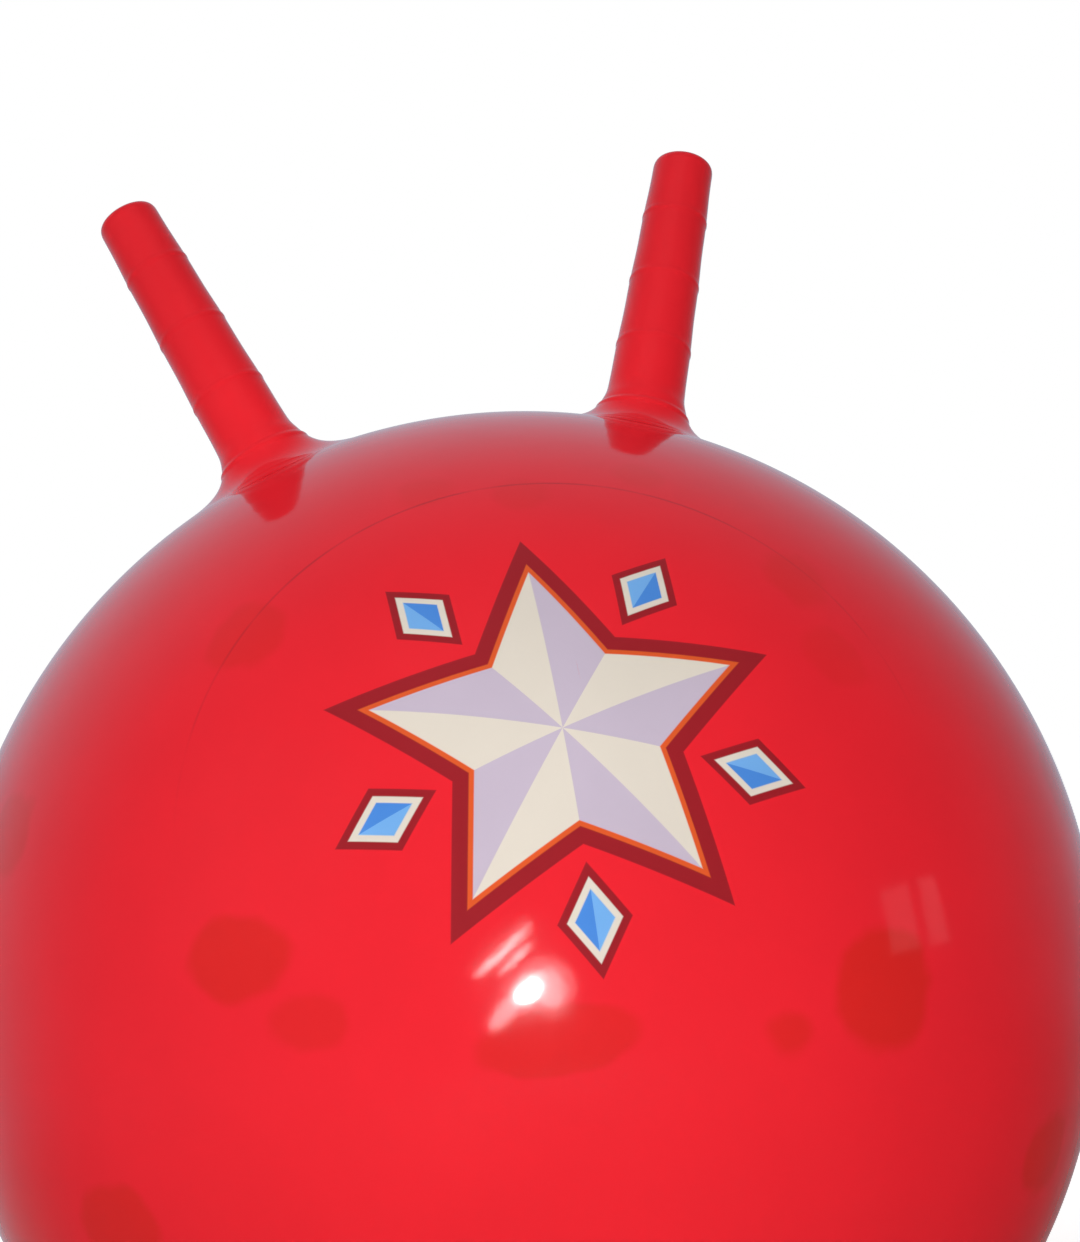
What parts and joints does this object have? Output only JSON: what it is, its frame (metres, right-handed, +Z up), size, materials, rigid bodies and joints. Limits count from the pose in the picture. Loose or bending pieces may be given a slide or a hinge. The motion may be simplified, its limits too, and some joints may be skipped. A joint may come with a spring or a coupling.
{
  "type": "hopper ball",
  "caption": "Inflated glossy vinyl hopper ball with ringed hand horns on flexible flared necks and a push-in valve plug at the back, for a child to sit on and bounce.",
  "frame": {"origin": "on the floor, under the centre of the ball", "axes": "+Z up through the ball's centre, the printed front towards -Y, the rider behind towards +Y, the right horn towards +X"},
  "size_m": [0.5, 0.5, 0.6127],
  "materials": {
    "ball_vinyl": "glossy soft vinyl, red",
    "horn_vinyl": "glossy soft vinyl, red",
    "plug_plastic": "satin polyethylene, white"
  },
  "bodies": {
    "ball": {"ball_skin": "ball_vinyl", "left_neck": "horn_vinyl", "right_neck": "horn_vinyl", "valve_sleeve": "ball_vinyl"},
    "left_horn": {"left_horn": "horn_vinyl"},
    "right_horn": {"right_horn": "horn_vinyl"},
    "plug": {"valve_plug": "plug_plastic"}
  },
  "joints": [
    {"name": "left_horn_flex", "type": "hinge", "parent": "ball", "child": "left_horn", "pos_m": [-0.08736, 0.00419, 0.49324], "axis": [-0.9432, -0.1136, -0.3121], "range_deg": [-15, 15], "stiffness_Nm_per_rad": 5, "deforming": ["left_neck"]},
    {"name": "right_horn_flex", "type": "hinge", "parent": "ball", "child": "right_horn", "pos_m": [0.08736, 0.00419, 0.49324], "axis": [-0.9432, 0.1136, 0.3121], "range_deg": [-15, 15], "stiffness_Nm_per_rad": 5, "deforming": ["right_neck"]},
    {"name": "plug_pull", "type": "slide", "parent": "ball", "child": "plug", "axis": [0, 0.9397, -0.342], "range_m": [0, 0.03]}
  ]
}
